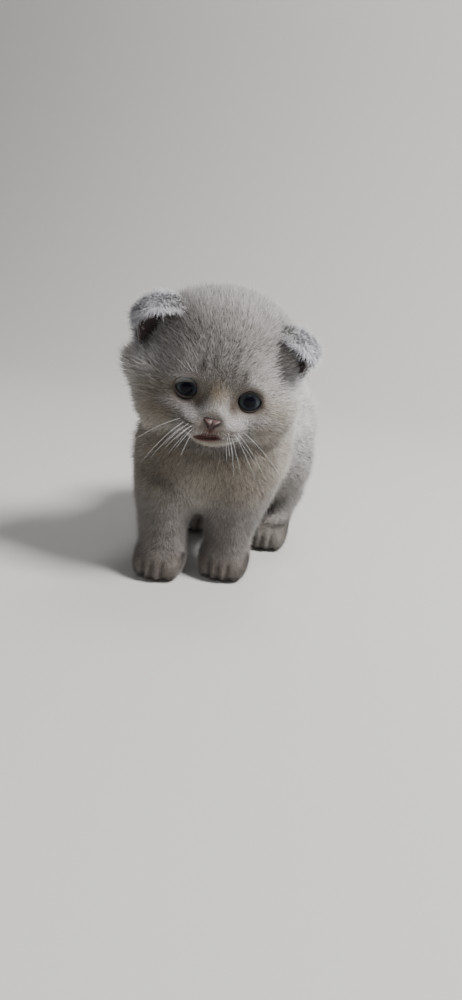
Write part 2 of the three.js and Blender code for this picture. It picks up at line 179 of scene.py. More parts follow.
def spread(values, edges, rounds):
    """Values on a mesh's vertices, each eased halfway to the mean of its neighbours, so many times."""
    values = np.array(values, float)
    count = np.bincount(edges.ravel(), minlength=len(values)).astype(float)
    count = count.reshape((-1,) + (1,) * (values.ndim - 1))
    for _ in range(rounds):
        total = np.zeros_like(values)
        np.add.at(total, edges[:, 0], values[edges[:, 1]])
        np.add.at(total, edges[:, 1], values[edges[:, 0]])
        values += 0.5 * (total / count - values)
    return values


def mesh_arrays(mesh):
    """A mesh's places, edges and normals."""
    points = np.empty(3 * len(mesh.vertices))
    mesh.vertices.foreach_get("co", points)
    edges = np.empty(2 * len(mesh.edges), int)
    mesh.edges.foreach_get("vertices", edges)
    normals = np.empty(3 * len(mesh.vertices))
    mesh.vertex_normals.foreach_get("vector", normals)
    return points.reshape(-1, 3), edges.reshape(-1, 2), normals.reshape(-1, 3)


SWELL, VOXEL = 0.45, 1.15
flesh_nodes = [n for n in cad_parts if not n.startswith(("eye", "ear", "nose"))]
melt = bmesh.new()
region_points, region_of = [], []
for index, node in enumerate(flesh_nodes):
    lump = bmesh.new()
    lump.from_mesh(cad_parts[node].data)
    bmesh.ops.remove_doubles(lump, verts=lump.verts[:], dist=1e-6)
    lump.normal_update()
    for v in lump.verts:
        v.co += v.normal * SWELL * mm
    for f in lump.faces:
        region_points.append(f.calc_center_median().copy())
        region_of.append(index)
    plain = cast(lump, node)
    melt.from_mesh(plain)
    bpy.data.meshes.remove(plain)
raw = bpy.data.objects.new("raw_hide", cast(melt, "raw_hide"))
bpy.context.scene.collection.objects.link(raw)
voxels = raw.modifiers.new("voxels", "REMESH")
voxels.mode = "VOXEL"
voxels.voxel_size = VOXEL * mm
hide = bpy.data.meshes.new_from_object(raw.evaluated_get(bpy.context.evaluated_depsgraph_get()))
hide.name = "skin"
bpy.data.objects.remove(raw)
skin = bpy.data.objects.new("skin", hide)
bpy.context.scene.collection.objects.link(skin)

lookup = kdtree.KDTree(len(region_points))
for index, place in enumerate(region_points):
    lookup.insert(place, index)
lookup.balance()
points, edges, normals = mesh_arrays(hide)
region = np.array([region_of[lookup.find(p)[1]] for p in points])
region_name = np.array(flesh_nodes)[region].astype(str)
hide.vertices.foreach_set("co", spread(points, edges, 4).ravel())
hide.update()
points, edges, normals = mesh_arrays(hide)

# Depth of the coat, length of a hair, degrees it stands up, tufts of down and hairs to a square mm, width.
coat_table = {
    "neck": (3.6, 5.6, 56, 4.8, 1.7, 0.34),
    "chest": (3.6, 5.6, 56, 4.8, 1.7, 0.34),
    "belly": (3.6, 5.6, 52, 3.0, 1.15, 0.42),
    "rump": (3.6, 5.6, 52, 2.9, 1.15, 0.42),
    "foreleg": (2.2, 3.7, 50, 4.7, 1.5, 0.31),
    "forepaw": (0.9, 1.9, 42, 7.0, 2.0, 0.24),
    "hind_leg": (2.8, 4.5, 48, 2.9, 1.05, 0.40),
    "hind_paw": (0.9, 1.9, 42, 4.6, 1.4, 0.28),
    "tail": (2.2, 4.2, 44, 3.4, 1.2, 0.36),
    "head": (2.8, 4.4, 54, 5.0, 2.1, 0.30),
}
coat = np.zeros((len(points), 6))
for name, row in coat_table.items():
    coat[np.char.startswith(region_name, name)] = row
tail_end = points[np.argmax(points[:, 1] - points[:, 2])]
from_tail_end = np.linalg.norm(points - tail_end, axis=1)[:, None] / mm
coat = spread(coat, edges, 12)
coat[:, :2] *= 0.4 + 0.6 * ramp(from_tail_end, 2, 22)
face = in_head(points)
on_head = spread(np.char.startswith(region_name, "head").astype(float), edges, 3)[:, None]
front = on_front(face)[:, None]
from_nose = np.linalg.norm((face - [0, -9, -8]) / [1.1, 1, 1], axis=1)
from_eye = np.minimum(*(np.hypot(face[:, 0] - s * EYE_OUT, face[:, 2]) for s in (-1, 1)))
near_nose = (1 - ramp(from_nose, 6, 32))[:, None] * on_head
near_eye = (1 - ramp(from_eye, 5, 13))[:, None] * on_head * front
coat += near_nose * (np.array([0.7, 1.7, 32, 9.3, 4.0, 0.22]) - coat)
coat += near_eye * (np.array([0.6, 1.5, 30, 9.3, 4.0, 0.20]) - coat)
ear_base = near_to(face, (-34, 19, 2), (9, 10, 8))[:, None]
for at, size in (((28, 18, 6), (7, 9, 9)), ((-20, 13, 29), (5, 6, 5)), ((19.5, 13, 28), (5, 6, 5))):
    ear_base = np.maximum(ear_base, 0.6 * near_to(face, at, size)[:, None])
coat[:, :2] += ear_base * np.array([0.4, 3.6]) * on_head
coat[:, 4:5] *= 1 + 0.8 * ear_base

away = unit(face - [0, -13, -7]) @ head_axes.T
side_of = np.where(face[:, 0] > 0, 1, -1)[:, None]
off_eye = unit((face - [0, 6, 0]) * [1, 0.4, 1] - side_of * np.array([[EYE_OUT, 0, 0]])) @ head_axes.T
outward = np.sign(points[:, :1]) * np.array([[1, 0, 0]])
lies = {
    "neck": (0, 0.5, -0.9),
    "chest": (0, 0.55, -0.85),
    "belly": (0, 1, -0.35),
    "rump": (0, 0.9, -0.5),
    "foreleg": (0, 0.15, -1),
    "forepaw": (0, -0.8, -0.5),
    "hind_leg": (0, 0.35, -0.9),
    "hind_paw": (0, -0.85, -0.45),
    "tail": (0.08, 0.6, -0.8),
}
over_right_eye = np.exp(-(((face[:, :1] + 14.5) / 5) ** 2) - ((face[:, 2:] - 5.4) / 1.5) ** 2)
lie = away + (1.6 - 4.5 * over_right_eye) * near_eye * off_eye
for name, way in lies.items():
    picked = np.char.startswith(region_name, name)
    lie[picked] = np.array(way) + 0.12 * outward[picked]
lie = unit(spread(lie, edges, 20))

# The toes are parted by grooves. The mouth is a short opening under a groove that runs up to the nose.
toes = np.zeros(len(points))
feet = {}
for paw in ("forepaw_left", "forepaw_right", "hind_paw_left", "hind_paw_right"):
    low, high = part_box(paw)
    middle, tip = (low[0] + high[0]) / 2, low[1]
    feet[paw] = (middle, tip)
    near = ramp(tip + 11 * mm - points[:, 1], 0, 8 * mm) * ramp(12.5 * mm - points[:, 2], 0, 5 * mm)
    near *= (points[:, 1] > tip - 2 * mm) & (np.abs(points[:, 0] - middle) < 12 * mm)
    for k in (-1, 0, 1):
        off_line = (points[:, 0] - middle) / mm - TOE_WIDE * k
        toes = np.maximum(toes, near * np.exp(-(off_line / 0.95) ** 2))


def lips(x):
    """Height of the upper and the lower lip at a distance across the mouth, in the head's frame."""
    t = np.clip((np.asarray(x, float) - MOUTH_X) / 5.4, -1, 1)
    upper = MOUTH_Z + 0.9 * t + 1.5 * (1 - t * t) ** 0.8 - 0.7 * np.exp(-(((t - 0.1) / 0.22) ** 2))
    lower = MOUTH_Z + 0.9 * t - 1.1 * (1 - t * t) ** 0.7 + 0.25 * t
    return upper, lower


upper, lower = lips(face[:, 0])
in_mouth = ramp(upper - face[:, 2], -0.5, 0.5) * ramp(face[:, 2] - lower, -0.5, 0.5)
in_mouth *= np.abs(face[:, 0] - MOUTH_X) < 5.6
groove = np.exp(-((face[:, 0] / 0.55) ** 2))
groove *= ramp(-10.5 - face[:, 2], 0, 0.6) * ramp(face[:, 2] + 14.6, 0, 0.8)
open_face = (front * on_head)[:, 0]
sunk = 1.3 * toes + open_face * (1.4 * in_mouth + 0.6 * groove)
points = points - normals * (coat[:, :1] + sunk[:, None]) * mm
bridge = np.exp(-(((face[:, 0] + 0.1) / 4.4) ** 2) - ((face[:, 2] + 6.6) / 2.2) ** 2) * open_face
points += bridge[:, None] * 2.6 * mm * np.array([[0, -1, 0]]) @ head_axes.T
behind_cheek = near_to(face, (-33, 30, -10), (12, 12, 16))[:, None]
points += behind_cheek * (spread(points, edges, 60) - points)
hide.vertices.foreach_set("co", spread(points, edges, 2).ravel())
hide.polygons.foreach_set("use_smooth", [True] * len(hide.polygons))
hide.update()
points, edges, normals = mesh_arrays(hide)
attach(skin, "root")
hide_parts(*flesh_nodes)

# The colours of the coat
# Lilac grey that is warm, brown and darker near the skin and pale at the tips, with faint dark streaks on the
# forehead, dark rims to the eyes, a pale muzzle, and ghosts of bars on flanks, legs and tail. The darkness near
# the skin is partly the undercoat's own colour and partly painted shade deep in the coat.
LILAC = np.array([0.44, 0.426, 0.42])
BEIGE = np.array([0.47, 0.425, 0.355])
BROWN = np.array([0.20, 0.17, 0.125])
PALE = np.array([0.66, 0.66, 0.68])
DARK = np.array([0.10, 0.088, 0.08])
FLESH = np.array([0.11, 0.042, 0.038])


def spot(places, x, z, wide, high, lean=0.0):
    """1 at a place on the face and 0 away from it, on an oval that leans."""
    c, s = math.cos(lean), math.sin(lean)
    dx, dz = places[:, 0] - x, places[:, 2] - z
    return np.exp(-(((c * dx + s * dz) / wide) ** 2) - ((c * dz - s * dx) / high) ** 2)


def toned(colour, target, share):
    """A colour moved towards another by a share from 0 to 1 at each place."""
    return colour + (np.asarray(target) - colour) * np.clip(share, 0, 1)[:, None]


def waves(places, size, seed, count=5):
    """A smooth field of chance between about -1 and 1, with swells of about that size."""
    chance = np.random.default_rng(seed)
    ways = unit(chance.normal(size=(count, 3))) * chance.uniform(0.7, 1.4, (count, 1)) * 2 * math.pi / size
    return np.sin(places @ ways.T + chance.uniform(0, 6.3, count)).sum(1) / math.sqrt(count) * 0.9


def coat_colour(points):
    """The coat's middle colour at places in the frame."""
    body = points / mm
    f = in_head(points)
    x, z = f[:, 0], f[:, 2]
    front = on_front(f)
    from_middle = np.linalg.norm((f - [0, 24, 6]) / [37, 42, 36], axis=1)
    head = 1 - ramp(from_middle, 0.9, 1.12)
    crown_painted_shade = (1 - ramp(from_middle, 0.85, 1.4)) * (1 - ramp(f[:, 1], 20, 50))
    colour = np.repeat(LILAC[None], len(points), 0)
    # Painted shade: the top of the head is made darker here and again at the end, to take down the light that
    # falls on it from above.
    colour = toned(colour, LILAC * 0.78, crown_painted_shade * ramp(z, 14, 26))
    # Painted light: the upper flanks are paler on both sides, standing in for the strong light on the kitten's
    # lit flank.
    flanks_painted_light = (1 - head) * ramp(np.abs(body[:, 0]), 16, 28) * ramp(body[:, 2], 28, 50)
    colour = toned(colour, PALE, 0.7 * flanks_painted_light)
    colour *= 1 - 0.05 * (1 + waves(body, 34, 3))[:, None]
    colour = toned(colour, BEIGE, 0.8 * (1 - head) * ramp(-body[:, 1], 20, 45) * ramp(body[:, 2], 28, 44))
    colour = toned(colour, BEIGE, 0.75 * head * (1 - ramp(z, -6, 8)) * ramp(np.abs(x), 14, 22))
    tufted = 0.8 * near_to(f, (-34, 19, 2), (10, 12, 9)) + 0.8 * near_to(f, (29, 16, 6), (6, 10, 9))
    colour = toned(colour, PALE, tufted)
    bars = ramp(np.sin(body[:, 1] / 2.3 + 0.6 * waves(body, 30, 4)), 0.1, 0.9) * ramp(body[:, 2], 20, 45)
    colour = toned(colour, LILAC * 0.72, 0.2 * bars * (1 - head))
    leg_bars = ramp(np.sin(body[:, 2] / 1.35 + 1.6 * waves(body, 20, 6)), 0.1, 0.95)
    low = (1 - ramp(body[:, 2], 20, 34)) * (0.7 + 0.3 * waves(body, 12, 7))
    mottled = ramp(waves(body, 4.5, 9, 9), 0.1, 1.2) * (1 - 0.6 * head)
    colour = toned(colour, LILAC * 0.62, 0.28 * mottled)
    behind = 0.4 + 0.6 * ramp(body[:, 1], -30, -10)
    # Painted shade: the coat low at the front, the forelegs and forepaws most, is darker towards the floor;
    # behind, on the hind legs, which take the light, hardly at all.
    shade_in_front = 1 - 0.95 * ramp(body[:, 1], -40, -20)
    painted_shade_near_floor = (1 - ramp(body[:, 2], 3, 44)) * (1 - head)
    colour = toned(colour, LILAC * [0.66, 0.62, 0.6], 0.9 * painted_shade_near_floor * shade_in_front)
    colour = toned(colour, LILAC * 0.45, 0.6 * leg_bars * low * ramp(body[:, 2], 9, 15) * behind)
    bib = np.exp(-(((body[:, 0] + 5) / 9) ** 2) - ((body[:, 2] - 41) / 8) ** 2) * ramp(-body[:, 1], 40, 50)
    colour = toned(colour, PALE * [1, 0.97, 0.86], 0.55 * (1 - head) * bib)
    streaks = ramp(np.sin(x * 1.5 + 0.5 * waves(f, 22, 8) + 0.05 * z), 0.3, 0.95)
    brow = front * ramp(z, 6, 13) * np.exp(-((x / 17) ** 2))
    brow += 0.55 * head * ramp(z, 22, 30) * np.exp(-((x / 20) ** 2)) * ramp(-f[:, 1], -40, -20)
    colour = toned(colour, LILAC * 0.5, 0.34 * streaks * np.clip(brow, 0, 1) * head)
    mark = spot(f, -8.2, 11.0, 1.5, 4.2, -0.12) + spot(f, 9.0, 9.4, 1.5, 3.8, 0.12)
    mark += 0.45 * spot(f, -3.4, 14, 1.2, 5) + 0.45 * spot(f, 4.2, 15, 1.2, 5)
    colour = toned(colour, DARK, 0.85 * front * mark)
    colour = toned(colour, BROWN, front * (0.95 * spot(f, -0.5, 1.8, 5.0, 4.6) + 0.25 * spot(f, 0, 8, 8, 5)))
    # Painted shade: the brown low on the kitten's right cheek, far stronger than the faint brown on its left,
    # is the shade on the side away from the light.
    colour = toned(colour, BROWN, front * (0.85 * spot(f, -21, -9, 10, 8) + 0.15 * spot(f, 24, -4, 9, 10)))
    colour = toned(colour, PALE, front * 0.7 * spot(f, 0, -4.4, 4.6, 2.6))
    for s in (-1, 1):
        pad = spot(f, s * 9.5, -7.4, 5.6, 2.6, s * 0.12)
        # Painted light: the pale pad on the kitten's right side is made lighter still, against the shade on
        # that side.
        colour = toned(colour, PALE * (1.12 if s < 0 else 1), front * 0.9 * pad)
        colour = toned(colour, PALE, front * 0.6 * spot(f, s * 17.5, -6, 6.5, 2.6, -s * 0.1))
        colour = toned(colour, PALE, front * 0.5 * spot(f, s * 6.5, -13.5, 4.5, 2.2))
        colour = toned(colour, PALE, front * 0.4 * spot(f, s * 14, 7.2, 6, 1.8, -s * 0.2))
        ring = np.hypot((x - s * EYE_OUT) / 1.12, z - 0.1)
        colour = toned(colour, DARK * [1.2, 1.1, 1.0], 0.7 * front * (1 - ramp(ring, 4.4, 5.9)))
        colour = toned(colour, DARK, 0.7 * front * spot(f, s * 18.4, -1.0, 2.6, 0.9, -s * 0.35))
        colour = toned(colour, DARK * 1.5, 0.35 * front * spot(f, s * 23, -4.5, 5, 0.9, -s * 0.3))
        inner_corner = spot(f, s * 6.9, -2.9, 1.6, 2.9, s * 0.6)
        colour = toned(colour, DARK * [1.6, 1.4, 1.2], 0.9 * front * inner_corner)
        for row in range(3):
            arch = -10.9 - 1.75 * row - 0.012 * (np.abs(x) - 10.5) ** 2
            line = np.exp(-(((z - arch) / 0.48) ** 2)) * spot(f, s * 10.5, -11 - 1.75 * row, 5.0, 3)
            colour = toned(colour, DARK, 0.8 * front * line)
    colour = toned(colour, PALE, 0.8 * front * spot(f, -16, 4.7, 5.2, 0.9, 0.18))
    colour = toned(colour, BEIGE * 0.85, front * 0.85 * spot(f, -0.5, -18.4, 8, 2.4))
    colour = toned(colour, FLESH * 2.0, front * 0.7 * spot(f, 0, -12.3, 3.2, 1.6))
    upper, lower = lips(x)
    mouth = ramp(upper + 1.2 - z, 0, 1.1) * ramp(z - lower + 0.8, 0, 0.8)
    colour = toned(colour, FLESH, 0.9 * front * mouth * (1 - ramp(np.abs(x - MOUTH_X), 4.6, 6.2)))
    # Painted light: the end of the tail is made lighter, so that the shade in the knot of tufts there does not
    # show dark.
    painted_light_at_tail_end = np.exp(-((np.linalg.norm(points - tail_end, axis=1) / (5 * mm)) ** 2))
    # Painted shade: the crown is made 15% darker still.
    return np.clip(colour * (1 - 0.15 * crown_painted_shade + 0.6 * painted_light_at_tail_end)[:, None], 0.02, 0.9)


def painted(mesh, attribute, colours):
    """A mesh given a colour at each of its vertices."""
    field = mesh.color_attributes.new(attribute, "FLOAT_COLOR", "POINT")
    field.data.foreach_set("color", np.array(colours).ravel())


# The hide under the coat is about half as bright as the coat: partly its own dark colour, partly painted shade
# under the hairs.
under = np.ones((len(points), 4))
under[:, :3] = coat_colour(points) * [0.5, 0.45, 0.4]
bare = (open_face * np.maximum(in_mouth, 0.8 * groove))[:, None]
under[:, :3] += bare * (FLESH * [0.5, 0.4, 0.4] - under[:, :3])
sole = (1 - ramp(points[:, 2], 0.8 * mm, 1.8 * mm))[:, None]
under[:, :3] += sole * (np.array([0.17, 0.115, 0.11]) - under[:, :3])
# Painted shade: the hide is darker in the grooves between the toes.
under[:, :3] *= 1 - 0.55 * toes[:, None]
painted(hide, "coat_colour", under)


def pattern(nodes, links, kind, scale):
    """A texture node laid in the piece's own coordinates."""
    made = nodes.new(kind)
    made.inputs["Scale"].default_value = scale
    place = nodes.new("ShaderNodeTexCoord")
    links.new(place.outputs["Object"], made.inputs["Vector"])
    return made


def own_colour(nodes, links, shader, attribute, broken_by, low, high):
    """The colour painted on the piece, made darker and lighter by a pattern."""
    own = nodes.new("ShaderNodeAttribute")
    own.attribute_name = attribute
    shade = nodes.new("ShaderNodeMapRange")
    shade.inputs["To Min"].default_value = low
    shade.inputs["To Max"].default_value = high
    links.new(broken_by, shade.inputs["Value"])
    mixed = nodes.new("ShaderNodeVectorMath")
    mixed.operation = "SCALE"
    links.new(own.outputs["Color"], mixed.inputs[0])
    links.new(shade.outputs["Result"], mixed.inputs["Scale"])
    links.new(mixed.outputs["Vector"], shader.inputs["Base Color"])


def relief(nodes, links, shader, height, strength, distance, invert=False):
    """Fine relief from a pattern."""
    bump = nodes.new("ShaderNodeBump")
    bump.invert = invert
    bump.inputs["Strength"].default_value = strength
    bump.inputs["Distance"].default_value = distance
    links.new(height, bump.inputs["Height"])
    links.new(bump.outputs["Normal"], shader.inputs["Normal"])


def plush(name, rough, bump):
    """Fur or hide: its own colour from the piece, broken up by fine noise, with soft sheen."""
    made, nodes, links, shader = blank(name, rough)
    shader.inputs["Specular IOR Level"].default_value = 0.25
    shader.inputs["Sheen Weight"].default_value = 0.3
    shader.inputs["Sheen Roughness"].default_value = 0.45
    grain = pattern(nodes, links, "ShaderNodeTexNoise", 900)
    grain.inputs["Detail"].default_value = 2
    own_colour(nodes, links, shader, "coat_colour", grain.outputs["Fac"], 0.82, 1.18)
    if bump:
        relief(nodes, links, shader, grain.outputs["Fac"], bump, 0.0004)
    return made


hide.materials.clear()
hide.materials.append(plush("hide", 0.85, 0.6))

# The unwrap of the hide
# The hide is laid out flat in pieces, as a furrier would, and each tuft of the coat takes its patch of
# colour from the place of its root on that layout.
bpy.context.view_layer.objects.active = skin
skin.select_set(True)
bpy.ops.object.mode_set(mode="EDIT")
bpy.ops.mesh.select_all(action="SELECT")
bpy.ops.uv.smart_project(angle_limit=math.radians(66), island_margin=0.002)
bpy.ops.object.mode_set(mode="OBJECT")
skin.select_set(False)
hide.uv_layers[0].name = "OFBake"

# The eyes
# Dark slate-blue kitten eyes, round and wet, almost all pupil, each a ball in its socket with a cornea that
# stands a little proud of it.
EYEBALL = 6.85
gaze = unit(np.array([0.02, -1.0, 0.0]))
iris, nodes, links, shader = blank("iris", 0.06)
shader.inputs["IOR"].default_value = 1.34
shader.inputs["Specular IOR Level"].default_value = 0.22
own = nodes.new("ShaderNodeAttribute")
own.attribute_name = "off_gaze"
fibres = pattern(nodes, links, "ShaderNodeTexNoise", 900)
stir = nodes.new("ShaderNodeMath")
stir.operation = "MULTIPLY_ADD"
stir.inputs[1].default_value = 0.05
links.new(fibres.outputs["Fac"], stir.inputs[0])
links.new(own.outputs["Fac"], stir.inputs[2])
band = nodes.new("ShaderNodeValToRGB")
stops = [
    (0.0, (0.003, 0.003, 0.006)),
    (0.22, (0.005, 0.005, 0.010)),
    (0.28, (0.030, 0.036, 0.044)),
    (0.38, (0.072, 0.083, 0.088)),
    (0.45, (0.060, 0.068, 0.070)),
    (0.49, (0.003, 0.003, 0.004)),
    (0.72, (0.08, 0.07, 0.066)),
]
while len(band.color_ramp.elements) < len(stops):
    band.color_ramp.elements.new(0.5)
for element, (at, colour) in zip(band.color_ramp.elements, stops):
    element.position = at
    element.color = (*colour, 1)
links.new(stir.outputs[0], band.inputs["Fac"])
links.new(band.outputs["Color"], shader.inputs["Base Color"])
for side, node in ((1, "eye_left"), (-1, "eye_right")):
    ball = bmesh.new()
    bmesh.ops.create_uvsphere(ball, u_segments=48, v_segments=32, radius=1)
    bmesh.ops.rotate(ball, verts=ball.verts[:], cent=(0, 0, 0), matrix=Matrix.Rotation(math.pi / 2, 3, "X"))
    off = []
    for v in ball.verts:
        way = np.array(v.co)
        angle = math.acos(max(-1, min(1, float(way @ gaze))))
        off.append(angle / math.pi * 2)
        bulge = 0.8 * math.exp(-((angle / 0.62) ** 2))
        v.co = Vector(from_head([side * EYE_OUT, EYE_BACK, 0.0] + way * (EYEBALL - 0.35 + bulge)))
    bmesh.ops.recalc_face_normals(ball, faces=ball.faces[:])
    name = "eyeball_" + node[4:]
    eyeball = shown(name, cast(ball, name), iris)
    eyeball.data.attributes.new("off_gaze", "FLOAT", "POINT").data.foreach_set("value", off)
    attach(eyeball, "root")
    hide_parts(node)

# The lids
# The dark bare edge of the upper and lower lid, a thin soft rim against the eyeball, drawn out a little at
# both corners, with the hide tucked in behind it. The right upper lid hangs lower and is furred over.


def speckled(name, rough, scale, dark, light):
    """Skin, hair or horn that wanders between two colours."""
    made, nodes, links, shader = blank(name, rough)
    mottle = pattern(nodes, links, "ShaderNodeTexNoise", scale)
    band = nodes.new("ShaderNodeValToRGB")
    band.color_ramp.elements[0].color = (*dark, 1)
    band.color_ramp.elements[1].color = (*light, 1)
    links.new(mottle.outputs["Fac"], band.inputs["Fac"])
    links.new(band.outputs["Color"], shader.inputs["Base Color"])
    return made


lid_leather = speckled("lid_leather", 0.5, 700, (0.018, 0.013, 0.012), (0.06, 0.042, 0.038))
nodes, links = lid_leather.node_tree.nodes, lid_leather.node_tree.links
base_colour = nodes["Principled BSDF"].inputs["Base Color"]
short_fur = nodes.new("ShaderNodeAttribute")
short_fur.attribute_name = "furred"
cover = nodes.new("ShaderNodeMix")
cover.data_type = "RGBA"
cover.inputs[7].default_value = (0.33, 0.33, 0.33, 1)
links.new(short_fur.outputs["Fac"], cover.inputs[0])
links.new(base_colour.links[0].from_socket, cover.inputs[6])
links.new(cover.outputs[2], base_colour)


def lid_edge(side, angle):
    """A place on the edge of the opening: angle 0 is the outer corner, then over the top to the inner one."""
    c, s = math.cos(angle), math.sin(angle)
    wide = 4.6 + 0.7 * max(0, -c) ** 6 + 0.35 * max(0, c) ** 6
    high = 4.0 if s > 0 else 3.95
    drop = -0.8 * max(0, -c) ** 4 + 0.2 * max(0, c) ** 4
    return np.array([side * (EYE_OUT + wide * c), 0.0, 0.1 + high * s + drop])


LID_SEAT = EYEBALL + 0.4
for side, name in ((1, "left"), (-1, "right")):
    rim = bmesh.new()
    bmesh.ops.create_circle(rim, segments=10, radius=1)
    bmesh.ops.translate(rim, verts=rim.verts[:], vec=(4, 0, 0))
    bmesh.ops.spin(
        rim, geom=rim.edges[:] + rim.verts[:], cent=(0, 0, 0), axis=(0, 1, 0),
        angle=2 * math.pi, steps=64, use_merge=True, use_duplicate=False,
    )
    centre = np.array([side * EYE_OUT, EYE_BACK, 0.0])
    furred = []
    for v in rim.verts:
        angle = math.atan2(v.co.z, v.co.x)
        around = math.hypot(v.co.x, v.co.z) - 4
        flat = lid_edge(side, angle) - centre
        out = unit(np.array([flat[0], 0, flat[2]]))
        heavy = 1.25 * max(0, math.sin(angle + 0.35)) ** 1.2 + 0.7 * max(0, -math.sin(angle))
        heavy *= side < 0
        reach = math.hypot(flat[0], flat[2]) + 0.5 - heavy / 2 + (0.8 + heavy / 2) * around
        deep = math.sqrt(max(LID_SEAT * LID_SEAT - reach * reach, 6.0))
        back = -deep - 0.1 + 0.4 * (1 + around) + 0.9 * v.co.y
        v.co = Vector(from_head(centre + out * reach + np.array([0, back, 0])))
        furred.append(min(1.0, 1.1 * ramp(heavy, 0.4, 1.0) * (math.sin(angle) > 0) * max(0, around + 0.75)))
    bmesh.ops.recalc_face_normals(rim, faces=rim.faces[:])
    lid = shown("lids_" + name, cast(rim, "lids_" + name), lid_leather)
    lid.data.attributes.new("furred", "FLOAT", "POINT").data.foreach_set("value", furred)
    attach(lid, "root")

# The nose leather
# A small bare wedge of pebbled leather, broad above and narrow below, with a slanting comma of a nostril on
# each side and a groove down the middle.
NOSE_AT = np.array([-0.1, -10.3, -9.0])
pad = bmesh.new()
bmesh.ops.create_icosphere(pad, subdivisions=5, radius=1)
nose_shade = []
for v in pad.verts:
    x, y, z = v.co
    wide = 2.4 + 4.2 * max(0, (z + 1) / 2) ** 0.75 - 1.2 * max(0, z - 0.35) ** 2
    px, py, pz = wide * x, 2.8 * y, (2.1 if z > 0 else 2.8) * z
    pz -= 0.35 * abs(x) ** 2 * (z > 0)
    dark = 0.0
    if y < 0:
        split = math.exp(-((px / 0.42) ** 2)) * min(1, max(0, 1.2 - z))
        py += 0.6 * split
        for s in (-1, 1):
            a, b = np.array([s * 1.8, -1.2]), np.array([s * 5.2, 1.2])
            t = min(1, max(0, float(((px, pz) - a) @ (b - a) / ((b - a) @ (b - a)))))
            gap = np.linalg.norm((px, pz) - a - t * (b - a))
            hole = math.exp(-((gap / (0.95 - 0.1 * t)) ** 2))
            py += 2.2 * hole
            py -= 0.5 * math.exp(-(((gap - 1.5) / 0.8) ** 2)) * (pz > a[1] + t * 2.75)
            dark = max(dark, hole)
        dark = max(dark, 0.7 * split * (z < 0.2))
    # Painted shade: the nostrils and the lower part of the middle groove are made nearly black.
    nose_shade.append((*(np.array([0.08, 0.044, 0.042]) * (1 - 0.93 * dark)), 1.0))
    py += 0.9 * max(0, z - 0.35)
    v.co = Vector(from_head(NOSE_AT + np.array([px, py, pz])))
bmesh.ops.recalc_face_normals(pad, faces=pad.faces[:])
nose_leather, nodes, links, shader = blank("pebbled_nose_leather", 0.5)
pebbles = pattern(nodes, links, "ShaderNodeTexVoronoi", 2200).outputs["Distance"]
own_colour(nodes, links, shader, "leather_colour", pebbles, 1.15, 0.7)
relief(nodes, links, shader, pebbles, 0.35, 0.0002, invert=True)
nose = shown("nose_leather", cast(pad, "nose_leather"), nose_leather)
painted(nose.data, "leather_colour", nose_shade)
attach(nose, "root")
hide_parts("nose")

# The lips
# The thin bare edges of the mouth, brownish pink above and paler pink below, round the dark opening. They
# lie on the hide.
surface_of = BVHTree.FromObject(skin, bpy.context.evaluated_depsgraph_get())
facing = Vector(head_axes @ np.array([0, 1.0, 0]))


def on_face(x, z, proud=0.0):
    """The place on the hide straight ahead of a place on the face, moved forward off it."""
    start = Vector(from_head([x, -60, z]))
    hit = surface_of.ray_cast(start, facing)[0]
    return np.array(hit) - np.array(facing) * proud * mm


def tube(rings, sides=8):
    """One closed tapering tube through (place, radius) pairs, as bare arrays of vertices and faces."""
    path = np.array([p for p, _ in rings])
    radii = np.array([r for _, r in rings]) * mm
    along = unit(np.gradient(path, axis=0))
    start = np.cross(along[0], [0.3, 0.5, 0.8])
    across = unit(start - (start * along).sum(1, keepdims=True) * along)
    third = np.cross(along, across)
    turns = np.linspace(0, 2 * math.pi, sides, endpoint=False)
    ring = across[:, None] * np.cos(turns)[None, :, None] + third[:, None] * np.sin(turns)[None, :, None]
    verts = (path[:, None] + ring * radii[:, None, None]).reshape(-1, 3)
    faces = [
        (i * sides + k, i * sides + (k + 1) % sides, (i + 1) * sides + (k + 1) % sides, (i + 1) * sides + k)
        for i in range(len(path) - 1) for k in range(sides)
    ]
    last = (len(path) - 1) * sides
    faces.append(tuple(range(sides - 1, -1, -1)))
    faces.append(tuple(last + k for k in range(sides)))
    return verts, faces


def joined_tubes(name, all_rings, sides, material, colours=None):
    """One piece of many tubes, each with a colour of its own if colours are given."""
    verts, faces, shades = [], [], []
    for index, rings in enumerate(all_rings):
        start = sum(len(v) for v in verts)
        made_verts, made_faces = tube(rings, sides)
        verts.append(made_verts)
        faces += [tuple(start + k for k in f) for f in made_faces]
        if colours is not None:
            shades += [(*colours[index], 1.0)] * len(made_verts)
    mesh = bpy.data.meshes.new(name)
    mesh.from_pydata([tuple(v) for v in np.concatenate(verts)], [], faces)
    if colours is not None:
        painted(mesh, "leather_colour", shades)
    made = shown(name, mesh, material)
    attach(made, "root")


lip_lines = []
for which, thick in ((0, 0.32), (1, 0.42)):
    rings = []
    for t in np.linspace(-1, 1, 25):
        x = MOUTH_X + 5.3 * t
        z = lips(x)[which]
        rings.append((on_face(x, z, 0.15), thick * (0.35 + 0.65 * (1 - t * t) ** 0.5)))
    lip_lines.append(rings)
joined_tubes("lips", lip_lines, 8, nose_leather, [(0.07, 0.032, 0.03), (0.12, 0.055, 0.052)])

